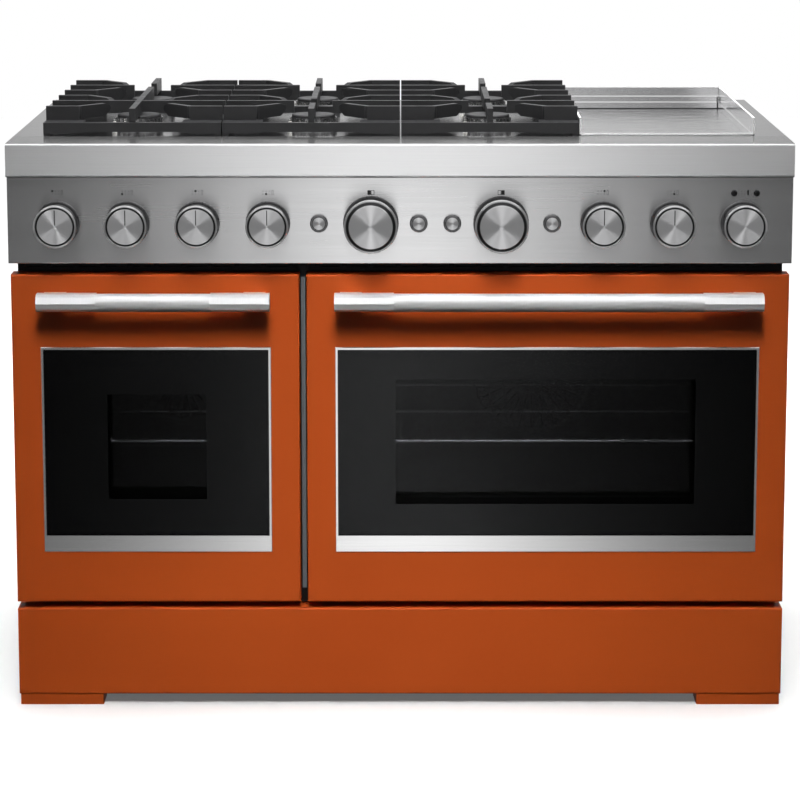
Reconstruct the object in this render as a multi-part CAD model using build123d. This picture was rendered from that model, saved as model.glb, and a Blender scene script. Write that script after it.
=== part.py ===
from build123d import *
import os
from math import atan2, degrees, hypot

# A freestanding gas range, 48 inch class. Millimetres, +Z up, the front faces -Y, and the origin is
# the middle of the footprint on the floor. Every sub-part is one node in parts/.

# ---- overall
HALF_WIDTH = 608.0          # ledge, control panel and deck
BODY_HALF = 600.0           # carcass behind the doors
LEDGE_FRONT = -334.5
BACK = 372.5
TOP = 900.0                 # landing ledge and deck surface
SHEET = 1.5
SHAFT_CLEARANCE = 0.05

# ---- depth planes, front to back
HANDLE_FRONT = -372.5
PANEL_FACE = -322.5
DOOR_FACE = -315.0
DOOR_BACK = -275.0
FRAME_FACE = -269.0
FRAME_BACK = -245.0
REAR_PANEL = 345.0

# ---- heights
LEDGE_BOTTOM = 848.0
PANEL_TOP = 847.0
PANEL_BOTTOM = 712.0
DOOR_TOP = 693.0
DOOR_BOTTOM = 169.0
KICK_TOP = 158.0
KICK_BOTTOM = 18.0
BASE_BOTTOM = 30.0
RAIL_TOP = 60.0
SHELL_TOP = TOP - 2.0

# ---- doors, as left and right edges
DOORS = {"main": (-146.0, 606.0), "small": (-606.0, -157.0)}
WINDOW_MARGIN = 44.5
WINDOW_TOP = 579.0
WINDOW_BOTTOM = 250.5
BAND_TOP = 277.0
TRIM_WIDTH = 4.0
TRIM_PROUD = 2.0
APERTURES = {"main": (-7.0, 463.5, 327.0, 527.0), "small": (-459.0, -304.0, 335.0, 503.0)}
GLASS = 4.0
HANDLE_Z = 656.0
HANDLE_RADIUS = 14.3
HANDLE_END = 92.0
HINGE_Y = -306.0
HINGE_Z = 183.0
HINGE_INSET = 36.0
HINGE_PIN = 3.0

# ---- oven cavities, inside faces
CAVITIES = {"main": (-80.5, 539.5), "small": (-542.0, -222.0)}
CAVITY_BACK = 240.0
CAVITY_FLOOR = 215.0
CAVITY_CEILING = 635.0
WOOL = 40.0                 # insulation thickness
RACK_Z = 416.0
RACK_FRONT = -250.0
RACK_BACK = 226.0
RACK_WIRE = 3.0
RIB_DEPTH = 8.0

# ---- controls
KNOB_Z = 775.0
GAS_KNOBS = {
    "knob_1": -530.0,
    "knob_2": -422.0,
    "knob_3": -313.5,
    "knob_4": -204.5,
    "knob_5": 313.5,
    "knob_6": 421.5,
    "knob_7": 530.5,
}
OVEN_KNOBS = {"oven_knob_small": -45.0, "oven_knob_main": 156.5}
BUTTONS = {"button_1": -125.5, "button_2": 29.0, "button_3": 81.0, "button_4": 235.5}
STEM = 4.0
SKIRT = 4.0                 # how far the fixed skirt rings stand off the panel
KNOB_GAP = 8.5              # panel face to the back of a knob, room for the push
VALVE_FRONT = -300.0
MANIFOLD_Y = -255.0
PIPE = 8.0

# ---- cooktop
GRATE_FRONT = -225.5
GRATE_DEPTH = 550.0
GRATE_WIDTH = 279.3
GRATE_CENTRES = {"grate_left": -421.3, "grate_middle": -139.8, "grate_right": 141.7}
RAIL_LOW = 904.0
RAIL_HIGH = 921.0
GRATE_TOP = 943.0
BAR = 9.5
ROWS = (48.0, 139.0, 230.0, 321.0, 412.0, 503.0)
BURNER_ROWS = (139.0, 412.0)
GRIDDLE = (283.0, 559.0, -214.5, 319.5)
GRIDDLE_WALL_TOP = 927.4


def box(x0, x1, y0, y1, z0, z1):
    middle = Pos((x0 + x1) / 2, (y0 + y1) / 2, (z0 + z1) / 2)
    return middle * Box(x1 - x0, y1 - y0, z1 - z0)


def rod_x(x0, x1, y, z, r):
    return Pos((x0 + x1) / 2, y, z) * Rot(0, 90, 0) * Cylinder(r, x1 - x0)


def rod_y(x, y0, y1, z, r):
    return Pos(x, (y0 + y1) / 2, z) * Rot(90, 0, 0) * Cylinder(r, y1 - y0)


def rod_z(x, y, z0, z1, r):
    return Pos(x, y, (z0 + z1) / 2) * Cylinder(r, z1 - z0)


def tube_y(x, y0, y1, z, r, bore):
    return rod_y(x, y0, y1, z, r) - rod_y(x, y0 - 1, y1 + 1, z, bore)


def fuse(pieces):
    first, *rest = pieces
    return first.fuse(*rest)


def pan(x0, x1, y0, y1, z0, z1, sheet=SHEET, radius=0.0):
    """A folded sheet pan: a front face and four flanges, open towards the back."""
    shell = box(x0, x1, y0, y1, z0, z1)
    if radius:
        shell = fillet(shell.faces().sort_by(Axis.Y)[0].edges(), radius)
    hollow = box(x0 + sheet, x1 - sheet, y0 + sheet, y1 + 1, z0 + sheet, z1 - sheet)
    return shell - hollow


def turned(profile):
    """A solid of revolution about the Y axis from (radius, distance in front of the panel) points."""
    outline = Polyline(*[(r, 0, -d) for r, d in profile], close=True)
    flat = make_face(outline)
    solid = revolve(flat, Axis.Z, 360)
    return Rot(-90, 0, 0) * solid


def save(node, *pieces):
    solids = [solid for piece in pieces for solid in piece.solids()]
    export_step(Compound(solids), f"parts/{node}.step")


# ---- carcass
def side_panels():
    for side in (-1, 1):
        low, high = sorted((side * (BODY_HALF - SHEET), side * BODY_HALF))
        yield box(low, high, FRAME_BACK, REAR_PANEL, BASE_BOTTOM, SHELL_TOP)


INLET_X = 520.0
INLET_Z = 110.0
INLET_RADIUS = 10.67        # half inch male pipe thread


def rear_panel():
    inner = BODY_HALF - SHEET
    panel = box(-inner, inner, REAR_PANEL, REAR_PANEL + SHEET, BASE_BOTTOM, SHELL_TOP)
    slot = Box(70, 4 * SHEET, 7)
    cuts = [
        Pos(x, REAR_PANEL, z) * slot
        for x in range(-450, 451, 100)
        for z in (760, 780, 800)
    ]
    gas_hole = rod_y(INLET_X, REAR_PANEL - 1, REAR_PANEL + 3, INLET_Z, INLET_RADIUS + 3)
    return panel - cuts - gas_hole


LEG_X = 560.0
LEG_YS = (-232.0, 318.0)
LEG_STUD = 6.0


def base_frame():
    inner = BODY_HALF - SHEET
    plate = box(-inner, inner, FRAME_BACK, REAR_PANEL, BASE_BOTTOM, BASE_BOTTOM + SHEET)
    rails = []
    for side in (-1, 1):
        x = side * LEG_X
        outer = box(x - 20, x + 20, FRAME_BACK, REAR_PANEL, BASE_BOTTOM + SHEET, RAIL_TOP)
        hollow = box(x - 18, x + 18, FRAME_BACK - 1, REAR_PANEL + 1, BASE_BOTTOM + 3.5, RAIL_TOP - 2)
        rails.append(outer - hollow)
    holes = [
        rod_z(side * LEG_X, y, 0, RAIL_TOP + 5, LEG_STUD + 0.2)
        for side in (-1, 1)
        for y in LEG_YS
    ]
    return [piece - holes for piece in (plate, *rails)]


def leveling_legs():
    pad = Cylinder(25, 8) + Pos(0, 0, 5.5) * Cylinder(16, 3)
    pad = Pos(0, 0, 4) * fillet(pad.faces().sort_by(Axis.Z)[0].edges(), 1.5)
    nut = extrude(RegularPolygon(12, 6), 9)
    leg = fuse([pad, rod_z(0, 0, 9, 56, LEG_STUD), Pos(0, 0, 20.5) * nut])
    for side in (-1, 1):
        for y in LEG_YS:
            yield Pos(side * LEG_X, y, 0) * leg


def hinge_places(door):
    left, right = DOORS[door]
    return (left + HINGE_INSET, right - HINGE_INSET)


def hinge_finger(x):
    """The fixed half of a door hinge: a finger on the front frame with a hole for the door's pin."""
    bar = box(x - 3, x + 3, HINGE_Y, FRAME_FACE, HINGE_Z - 5, HINGE_Z + 5)
    tip = rod_x(x - 3, x + 3, HINGE_Y, HINGE_Z, 5)
    hole = rod_x(x - 4, x + 4, HINGE_Y, HINGE_Z, HINGE_PIN + SHAFT_CLEARANCE)
    return bar + tip - hole


def front_frame():
    small_left, small_right = CAVITIES["small"]
    main_left, main_right = CAVITIES["main"]
    low = CAVITY_FLOOR - SHEET
    high = CAVITY_CEILING + SHEET
    bars = [
        (-BODY_HALF, BODY_HALF, high, PANEL_BOTTOM),
        (-BODY_HALF, BODY_HALF, BASE_BOTTOM, low),
        (-BODY_HALF, small_left - SHEET, low, high),
        (small_right + SHEET, main_left - SHEET, low, high),
        (main_right + SHEET, BODY_HALF, low, high),
    ]
    yield from (pan(x0, x1, FRAME_FACE, FRAME_BACK, z0, z1) for x0, x1, z0, z1 in bars)
    yield from (hinge_finger(x) for door in DOORS for x in hinge_places(door))


def kick_panel():
    return pan(-606, 606, DOOR_FACE, FRAME_FACE, KICK_BOTTOM, KICK_TOP, radius=2)


def front_feet():
    for side in (-1, 1):
        low, high = sorted((side * 604, side * 472))
        yield pan(low, high, DOOR_FACE + 2, -262, 0, KICK_BOTTOM, sheet=2, radius=1)


DIVIDER = (-154.5, -147.5)
VENT_FACE = -284.0


def vent_and_divider_trim():
    bottom = DOOR_TOP + 2
    half = BODY_HALF - 2
    face = box(-half, half, VENT_FACE, VENT_FACE + SHEET, bottom, PANEL_BOTTOM)
    shelf = box(-half, half, VENT_FACE, FRAME_FACE, PANEL_BOTTOM - SHEET, PANEL_BOTTOM)
    slots = [Pos(x, VENT_FACE, bottom + 8.5) * Box(34, 6, 5) for x in range(-570, 571, 42)]
    left, right = DIVIDER
    notch = box(left - 6, right + 6, VENT_FACE - 1, FRAME_FACE + 1, bottom - 1, PANEL_BOTTOM + 1)
    yield from (face + shelf - slots - notch).solids()
    strip = box(left, right, -306, FRAME_FACE, 190, PANEL_BOTTOM - 22)
    outline = Polyline(
        (left, PANEL_BOTTOM - 22),
        (right, PANEL_BOTTOM - 22),
        (right + 4, PANEL_BOTTOM - 3),
        (left - 1, PANEL_BOTTOM - 3),
        close=True,
    )
    flare = extrude(Plane.XZ * make_face(outline), 306 + FRAME_FACE)
    yield strip + Pos(0, FRAME_FACE, 0) * flare


# ---- ovens
def oven_liner(oven):
    """Five welded sheets with three rack ribs on each side sheet."""
    left, right = CAVITIES[oven]
    deep = CAVITY_BACK + SHEET
    yield box(left - SHEET, right + SHEET, FRAME_FACE, deep, CAVITY_FLOOR - SHEET, CAVITY_FLOOR)
    yield box(left - SHEET, right + SHEET, FRAME_FACE, deep, CAVITY_CEILING, CAVITY_CEILING + SHEET)
    yield box(left, right, CAVITY_BACK, deep, CAVITY_FLOOR, CAVITY_CEILING)
    for wall, inward in ((left, 1), (right, -1)):
        low, high = sorted((wall - inward * SHEET, wall))
        sheet = box(low, high, FRAME_FACE, deep, CAVITY_FLOOR, CAVITY_CEILING)
        rib_low, rib_high = sorted((wall, wall + inward * RIB_DEPTH))
        ribs = []
        for level in (-110, 0, 110):
            top = RACK_Z - RACK_WIRE - 0.3 + level
            ribs.append(box(rib_low, rib_high, RACK_FRONT - 8, CAVITY_BACK - 8, top - 6, top))
        yield fuse([sheet, *ribs])


def insulation():
    for left, right in CAVITIES.values():
        x0 = left - SHEET
        x1 = right + SHEET
        y1 = CAVITY_BACK + SHEET
        z0 = CAVITY_FLOOR - SHEET
        z1 = CAVITY_CEILING + SHEET
        yield box(x0 - WOOL, x0, FRAME_BACK, y1, z0, z1)
        yield box(x1, x1 + WOOL, FRAME_BACK, y1, z0, z1)
        yield box(x0 - WOOL, x1 + WOOL, FRAME_BACK, y1, z1, z1 + WOOL)
        yield box(x0 - WOOL, x1 + WOOL, FRAME_BACK, y1, z0 - 35 - WOOL, z0 - 35)
        yield box(x0 - WOOL, x1 + WOOL, y1, y1 + WOOL, z0 - 35, z1)


def tube_burners():
    """Tubular burners: under each oven floor, under each ceiling, and under the griddle."""
    for left, right in CAVITIES.values():
        for share in (0.3, 0.7):
            x = left + share * (right - left)
            yield rod_y(x, -200, 190, CAVITY_FLOOR - 18, 9)
            yield rod_y(x, -180, 200, CAVITY_CEILING - 14, 8)
    middle = (GRIDDLE[0] + GRIDDLE[1]) / 2
    for offset in (-70, 70):
        yield rod_y(middle + offset, -180, 280, 868, 9)


def door_gaskets():
    for left, right in CAVITIES.values():
        outer = box(left - 16, right + 16, -274.4, FRAME_FACE, CAVITY_FLOOR - 16, CAVITY_CEILING + 16)
        inner = box(left - 4, right + 4, -276, FRAME_FACE + 1, CAVITY_FLOOR - 4, CAVITY_CEILING + 4)
        yield outer - inner


def oven_rack(oven):
    left, right = CAVITIES[oven]
    x0 = left + 4.5 + RACK_WIRE
    x1 = right - 4.5 - RACK_WIRE
    wires = [rod_y(x, RACK_FRONT, RACK_BACK, RACK_Z, RACK_WIRE) for x in (x0, x1)]
    for y in (RACK_FRONT, -10, RACK_BACK):
        wires.append(rod_x(x0, x1, y, RACK_Z, RACK_WIRE))
        wires += [Pos(x, y, RACK_Z) * Sphere(RACK_WIRE) for x in (x0, x1)]
    count = round((x1 - x0) / 25)
    pitch = (x1 - x0) / count
    for step in range(1, count):
        wires.append(rod_y(x0 + step * pitch, RACK_FRONT - 1, RACK_BACK + 1, RACK_Z + 4, 2))
    return fuse(wires)


# ---- doors
def window_edges(door):
    left, right = DOORS[door]
    return left + WINDOW_MARGIN, right - WINDOW_MARGIN


def hinge_slots(door):
    """Room in the door's bottom for the fixed hinge fingers, through the whole swing."""
    return [
        box(x - 5.5, x + 5.5, HINGE_Y - 6.5, FRAME_FACE, DOOR_BOTTOM - 5, HINGE_Z + 11)
        for x in hinge_places(door)
    ]


def door_skin(door):
    left, right = DOORS[door]
    skin = pan(left, right, DOOR_FACE, DOOR_BACK, DOOR_BOTTOM, DOOR_TOP, radius=2.5)
    x0, x1 = window_edges(door)
    hole = box(x0 + 0.8, x1 - 0.8, DOOR_FACE - 1, DOOR_FACE + 4, WINDOW_BOTTOM + 0.8, WINDOW_TOP - 0.8)
    return skin - hole - hinge_slots(door)


def door_trim(door):
    x0, x1 = window_edges(door)
    frame = box(x0, x1, DOOR_FACE - TRIM_PROUD, DOOR_FACE, WINDOW_BOTTOM, WINDOW_TOP)
    frame = chamfer(frame.faces().sort_by(Axis.Y)[0].edges(), 1)
    low = x0 + TRIM_WIDTH
    high = x1 - TRIM_WIDTH
    top = WINDOW_TOP - TRIM_WIDTH
    return frame - box(low, high, DOOR_FACE - 5, DOOR_FACE + 1, BAND_TOP, top)


def door_glass(door):
    x0, x1 = window_edges(door)
    yield box(x0 + 1, x1 - 1, DOOR_FACE, DOOR_FACE + GLASS, WINDOW_BOTTOM + 1, WINDOW_TOP - 1)
    a0, a1, low, high = APERTURES[door]
    yield box(a0 - 12, a1 + 12, PLUG_FACE - SHEET - GLASS, PLUG_FACE - SHEET, low - 12, high + 12)


PLUG_FACE = -262.0          # the part of a door's inner panel that enters the oven
PLUG_GAP = 10.0


def door_liner(door):
    left, right = DOORS[door]
    plate = box(left + 2, right - 2, DOOR_BACK - SHEET, DOOR_BACK, DOOR_BOTTOM + 2, DOOR_TOP - 2)
    c0, c1 = CAVITIES[door]
    x0 = c0 + PLUG_GAP
    x1 = c1 - PLUG_GAP
    z0 = CAVITY_FLOOR + PLUG_GAP
    z1 = CAVITY_CEILING - PLUG_GAP
    plug = box(x0, x1, DOOR_BACK - SHEET, PLUG_FACE, z0, z1)
    plug = fillet(plug.faces().sort_by(Axis.Y)[-1].edges(), 4)
    hollow = box(x0 + 4, x1 - 4, DOOR_BACK - 9, PLUG_FACE - SHEET, z0 + 4, z1 - 4)
    a0, a1, low, high = APERTURES[door]
    window = box(a0, a1, PLUG_FACE - 5, PLUG_FACE + 1, low, high)
    return plate + plug - hollow - window - hinge_slots(door)


def door_handle(door):
    """A round bar between two wedge-nosed end posts, which stand on the door."""
    x0, x1 = window_edges(door)
    bar_y = HANDLE_FRONT + HANDLE_RADIUS
    back = bar_y + HANDLE_RADIUS + 0.5
    nose = Polyline(
        (HANDLE_FRONT + 1, 0),
        (HANDLE_FRONT + 5, 9.5),
        (HANDLE_FRONT + 12, 13.6),
        (back, 13.6),
        (back, -13.6),
        (HANDLE_FRONT + 12, -13.6),
        (HANDLE_FRONT + 5, -9.5),
        close=True,
    )
    section = Plane.YZ * make_face(nose)
    yield rod_x(x0 + HANDLE_END, x1 - HANDLE_END, bar_y, HANDLE_Z, HANDLE_RADIUS)
    for start, neck in ((x0, x0 + 8), (x1 - HANDLE_END, x1 - 42)):
        post = Pos(start, 0, HANDLE_Z) * extrude(section, HANDLE_END)
        yield post + box(neck, neck + 34, back, DOOR_FACE, HANDLE_Z - 10, HANDLE_Z + 10)


def door_hinges(door):
    """The moving half of each hinge: two ears with a pin through the fixed finger, and a strap."""
    for x in hinge_places(door):
        ears = [
            box(low, low + 3, HINGE_Y - 6, HINGE_Y + 14, HINGE_Z - 7, HINGE_Z + 80)
            for low in (x - 6.5, x + 3.5)
        ]
        pin = rod_x(x - 6.5, x + 6.5, HINGE_Y, HINGE_Z, HINGE_PIN)
        strap = box(x - 6.5, x + 6.5, HINGE_Y + 11, HINGE_Y + 14, HINGE_Z + 13, HINGE_Z + 80)
        yield fuse([*ears, pin, strap])


# ---- control panel
def control_panel():
    panel = pan(-HALF_WIDTH, HALF_WIDTH, PANEL_FACE, DOOR_BACK + 3, PANEL_BOTTOM, PANEL_TOP, radius=1.4)
    for centres, radius in ((GAS_KNOBS, 6), (OVEN_KNOBS, 6), (BUTTONS, 12.2)):
        for x in centres.values():
            panel = panel - rod_y(x, PANEL_FACE - 1, PANEL_FACE + 5, KNOB_Z, radius)
    return panel


def skirt_ring(x, radius):
    ring = tube_y(x, PANEL_FACE - SKIRT, PANEL_FACE, KNOB_Z, radius, 8)
    rim = ring.faces().sort_by(Axis.Y)[0].edges().sort_by(SortBy.LENGTH)[-1]
    return chamfer(rim, 1.2)


def control_bezels():
    yield from (skirt_ring(x, 34.5) for x in GAS_KNOBS.values())
    yield from (skirt_ring(x, 43.0) for x in OVEN_KNOBS.values())
    for x in BUTTONS.values():
        ring = tube_y(x, PANEL_FACE - 5, PANEL_FACE, KNOB_Z, 13.8, BUTTON_RADIUS + 0.3)
        rim = ring.faces().sort_by(Axis.Y)[0].edges().sort_by(SortBy.LENGTH)[-1]
        sleeve = tube_y(x, PANEL_FACE, PANEL_FACE + 12, KNOB_Z, 12, BUTTON_RADIUS + 0.3)
        yield chamfer(rim, 1.5) + sleeve


BUTTON_RADIUS = 10.5


def button(x):
    front = PANEL_FACE - 6
    body = rod_y(x, front, PANEL_FACE + 13, KNOB_Z, BUTTON_RADIUS)
    return chamfer(body.faces().sort_by(Axis.Y)[0].edges(), 0.8)


def indicator_lenses():
    for x in (516.5, 551.5):
        lens = rod_y(x, PANEL_FACE - 2.5, PANEL_FACE, 822, 5)
        yield fillet(lens.faces().sort_by(Axis.Y)[0].edges(), 2)


def gas_knob(x):
    profile = [
        (0, 44.4), (26.9, 45), (27.4, 44.5), (27.4, 41.5), (29.6, 41.5), (29.9, 43.6), (30.9, 44.4),
        (32.2, 43.8), (33, 42.2), (33, 39), (31.6, 36.5), (31, 11), (29.5, KNOB_GAP),
        (STEM + SHAFT_CLEARANCE, KNOB_GAP), (STEM + SHAFT_CLEARANCE, 35), (0, 35),
    ]
    knob = turned(profile) - box(-0.6, 0.6, -46, -43.9, 1, 26.5)
    return Pos(x, PANEL_FACE, KNOB_Z) * knob


def oven_knob(x):
    profile = [
        (0, 47.3), (33.2, 48), (33.9, 47.4), (38.6, 42.2), (39.2, 42.8), (40.4, 42.8), (41.5, 41.6),
        (41.5, 38.5), (39.4, 36), (38.6, 11), (37, KNOB_GAP), (STEM, KNOB_GAP), (STEM, -34), (0, -34),
    ]
    return Pos(x, PANEL_FACE, KNOB_Z) * turned(profile)


def gas_stem(x):
    return rod_y(x, PANEL_FACE - 30, VALVE_FRONT + 20, KNOB_Z, STEM)


def gas_manifold():
    """The manifold with its valves, and the supply line down to the regulator and the inlet."""
    corner_x = BODY_HALF - SHEET - PIPE - 1.5
    corner_y = 310.0
    pieces = [rod_x(-570, corner_x - PIPE, MANIFOLD_Y, KNOB_Z, 10)]
    pieces += [rod_y(x, VALVE_FRONT, MANIFOLD_Y, KNOB_Z, 11) for x in GAS_KNOBS.values()]
    manifold = fuse(pieces)
    bore = STEM + SHAFT_CLEARANCE
    for x in GAS_KNOBS.values():
        manifold = manifold - rod_y(x, VALVE_FRONT - 1, VALVE_FRONT + 24, KNOB_Z, bore)
    yield manifold
    yield rod_y(corner_x, MANIFOLD_Y - PIPE, corner_y - PIPE, KNOB_Z, PIPE)
    yield rod_z(corner_x, corner_y, INLET_Z, KNOB_Z + PIPE, PIPE)
    yield rod_x(INLET_X + 25, corner_x - PIPE, corner_y, INLET_Z + 12, 6)
    body = box(INLET_X - 25, INLET_X + 25, corner_y - 25, corner_y + 25, INLET_Z - 25, INLET_Z + 25)
    yield body + rod_y(INLET_X, corner_y + 25, BACK - 2, INLET_Z, INLET_RADIUS)


def oven_controls():
    bore = STEM + SHAFT_CLEARANCE
    for x in OVEN_KNOBS.values():
        block = box(x - 22, x + 22, -302, -270, KNOB_Z - 22, KNOB_Z + 22)
        yield block - rod_y(x, -303, -286, KNOB_Z, bore)
    for x in BUTTONS.values():
        yield box(x - 10, x + 10, -306, -284, KNOB_Z - 10, KNOB_Z + 10)


# ---- cooktop
def landing_ledge():
    rear = GRATE_FRONT + 1
    outer = box(-HALF_WIDTH, HALF_WIDTH, LEDGE_FRONT, rear, LEDGE_BOTTOM, TOP)
    front = outer.faces().sort_by(Axis.Y)[0].edges().filter_by(Axis.X)
    outer = fillet(front, 3.5)
    inside = HALF_WIDTH - SHEET
    hollow = box(-inside, inside, LEDGE_FRONT + SHEET, rear + 1, LEDGE_BOTTOM + SHEET, TOP - SHEET)
    hollow = fillet(hollow.faces().sort_by(Axis.Y)[0].edges().filter_by(Axis.X), 2)
    under = box(-inside, inside, DOOR_BACK + 3, rear + 1, LEDGE_BOTTOM - 1, LEDGE_BOTTOM + 3)
    return outer - hollow - under


def burner_places():
    return [(x, GRATE_FRONT + row) for x in GRATE_CENTRES.values() for row in BURNER_ROWS]


def cooktop_deck():
    front = GRATE_FRONT + 1
    shell = box(-HALF_WIDTH, HALF_WIDTH, front, BACK, TOP - 50, TOP)
    inside = HALF_WIDTH - 2
    deck = shell - box(-inside, inside, front - 1, BACK - 2, TOP - 51, SHELL_TOP)
    x0, x1, y0, y1 = GRIDDLE
    deck = deck - box(x0 + 1.5, x1 - 1.5, y0 + 6.5, y1 - 6.5, TOP - 10, TOP + 1)
    for x, y in burner_places():
        deck = deck - rod_z(x, y, TOP - 10, TOP + 1, 24)
    return deck


CROWN_SLOTS = 24


def burner_heads():
    """Mixing cup, throat, flange and slotted crown of each surface burner."""
    profile = Polyline(
        (0, 866), (32, 866), (32, 886), (21, 892), (21, TOP), (45, TOP), (45, 903), (41, 906),
        (37, 906), (37, 917), (0, 917),
        close=True,
    )
    head = revolve(Plane.XZ * make_face(profile), Axis.Z, 360)
    slots = [
        Rot(0, 0, step * 360 / CROWN_SLOTS) * (Pos(36, 0, 912) * Box(14, 2.6, 8))
        for step in range(CROWN_SLOTS)
    ]
    head = head - slots
    for x, y in burner_places():
        yield Pos(x, y, 0) * head


def burner_caps():
    disc = Pos(0, 0, 919.2) * Cylinder(35, 4.4)
    cap = fillet(disc.faces().sort_by(Axis.Z)[-1].edges(), 2.2)
    for x, y in burner_places():
        yield Pos(x, y, 0) * cap


def bar_between(start, end, tip_cut):
    """A cast bar between two points of the top plane, its far end cut away above and below."""
    length = hypot(end[0] - start[0], end[1] - start[1])
    low = RAIL_HIGH + 2
    side = Polyline(
        (0, low),
        (length - 2 * tip_cut, low),
        (length, low + 1.2 * tip_cut),
        (length, GRATE_TOP - 0.6 * tip_cut),
        (length - 1.6 * tip_cut, GRATE_TOP),
        (0, GRATE_TOP),
        close=True,
    )
    bar = Pos(0, BAR / 2, 0) * extrude(Plane.XZ * make_face(side), BAR)
    angle = degrees(atan2(end[1] - start[1], end[0] - start[0]))
    return Pos(start[0], start[1], 0) * Rot(0, 0, angle) * bar


def grate(crossed):
    """A cast grate over two burners. Its own origin is the middle of the front rail's face."""
    half = GRATE_WIDTH / 2
    rail = 12.0
    post = half - 10
    pieces = [
        box(-half, half, 0, rail, RAIL_LOW, RAIL_HIGH),
        box(-half, half, GRATE_DEPTH - rail, GRATE_DEPTH, RAIL_LOW, RAIL_HIGH),
        box(-post, post, 264, 286, RAIL_LOW + 6, RAIL_HIGH),
    ]
    for side in (-1, 1):
        low, high = sorted((side * half, side * post))
        pieces.append(box(low, high, 1, GRATE_DEPTH - 1, RAIL_LOW, RAIL_HIGH))
        for foot_y in (10, 275, GRATE_DEPTH - 10):
            pieces.append(box(low, high, foot_y - 8, foot_y + 8, TOP, RAIL_LOW))
        shoulder_low, shoulder_high = sorted((side * post, side * 78))
        shoulder = box(shoulder_low, shoulder_high, rail, ROWS[0] + 2, RAIL_HIGH - 8, RAIL_HIGH)
        pieces.append(shoulder)
        for row, place in enumerate(ROWS):
            low, high = sorted((side * half, side * 88))
            pieces.append(box(low, high, place - BAR / 2, place + BAR / 2, RAIL_HIGH - 2, GRATE_TOP))
            centre = BURNER_ROWS[row // 3]
            if place == centre:
                pieces.append(bar_between((side * 88, place), (side * 31, place), 0.5))
            else:
                towards = 1 if centre > place else -1
                tip = (side * 46, centre - towards * 38)
                pieces.append(bar_between((side * 89, place), tip, 7))
                pieces.append(rod_z(side * 88.4, place, RAIL_HIGH + 2, GRATE_TOP, BAR / 2))
    spine = [(4, 101), (170, 383), (440, 546)]
    if crossed:
        spine = [(4, 383), (440, 546)]
        pieces.append(box(-40, 40, ROWS[1] - BAR / 2, ROWS[1] + BAR / 2, RAIL_HIGH + 4, GRATE_TOP))
    for low, high in spine:
        pieces.append(box(-BAR / 2, BAR / 2, low, high, RAIL_HIGH + 2, GRATE_TOP))
    for low, high in ((4, 12), (268, 282), (538, 546)):
        pieces.append(box(-BAR / 2, BAR / 2, low, high, RAIL_HIGH - 3, RAIL_HIGH + 3))
    body = fuse(pieces)
    arch = Polyline((-112, RAIL_LOW - 1), (-70, RAIL_LOW + 2.6), (70, RAIL_LOW + 2.6), (112, RAIL_LOW - 1), close=True)
    return body - Pos(0, rail + 1, 0) * extrude(Plane.XZ * make_face(arch), rail + 2)


def griddle_tray():
    """A sheet tray with upright side and back walls and a sunken cooking plate."""
    x0, x1, y0, y1 = GRIDDLE
    wall = 2.5
    flange = box(x0, x1, y0, y1, TOP, TOP + 2)
    pan_outer = box(x0 + 2, x1 - 2, y0 + 7, y1 - 7, 886, TOP)
    pieces = [
        flange,
        pan_outer,
        box(x0, x0 + wall, y0, y1, TOP, GRIDDLE_WALL_TOP),
        box(x1 - wall, x1, y0, y1, TOP, GRIDDLE_WALL_TOP),
        box(x0, x1, y1 - wall, y1, TOP, GRIDDLE_WALL_TOP),
        box(x0, x1, y1 - 7, y1, TOP, 912),
    ]
    sunk = box(x0 + 4.5, x1 - 4.5, y0 + 9.5, y1 - 9.5, 890, TOP + 3)
    return fuse(pieces) - sunk


def main():
    os.makedirs("parts", exist_ok=True)
    save("side_panels", *side_panels())
    save("rear_panel", rear_panel())
    save("base_frame", *base_frame())
    save("leveling_legs", *leveling_legs())
    save("front_frame", *front_frame())
    save("kick_panel", kick_panel())
    save("front_feet", *front_feet())
    save("vent_and_divider_trim", *vent_and_divider_trim())
    save("insulation", *insulation())
    save("tube_burners", *tube_burners())
    save("door_gaskets", *door_gaskets())
    for oven in CAVITIES:
        save(f"{oven}_oven_liner", *oven_liner(oven))
        save(f"{oven}_oven_rack", oven_rack(oven))
        save(f"{oven}_door_skin", door_skin(oven))
        save(f"{oven}_door_trim", door_trim(oven))
        save(f"{oven}_door_glass", *door_glass(oven))
        save(f"{oven}_door_liner", door_liner(oven))
        save(f"{oven}_door_handle", *door_handle(oven))
        save(f"{oven}_door_hinges", *door_hinges(oven))
    save("control_panel", control_panel())
    save("control_bezels", *control_bezels())
    save("indicator_lenses", *indicator_lenses())
    save("gas_manifold", *gas_manifold())
    save("oven_controls", *oven_controls())
    for name, x in GAS_KNOBS.items():
        save(name, gas_knob(x))
        save(name.replace("knob", "valve_stem"), gas_stem(x))
    for name, x in OVEN_KNOBS.items():
        save(name, oven_knob(x))
    for name, x in BUTTONS.items():
        save(name, button(x))
    save("landing_ledge", landing_ledge())
    save("cooktop_deck", cooktop_deck())
    save("burner_heads", *burner_heads())
    save("burner_caps", *burner_caps())
    for name, x in GRATE_CENTRES.items():
        save(name, Pos(x, GRATE_FRONT, 0) * grate(crossed=name == "grate_left"))
    save("griddle_tray", griddle_tray())


main()
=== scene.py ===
import bmesh
import bpy
import math
from mathutils import Matrix, Vector

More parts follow.
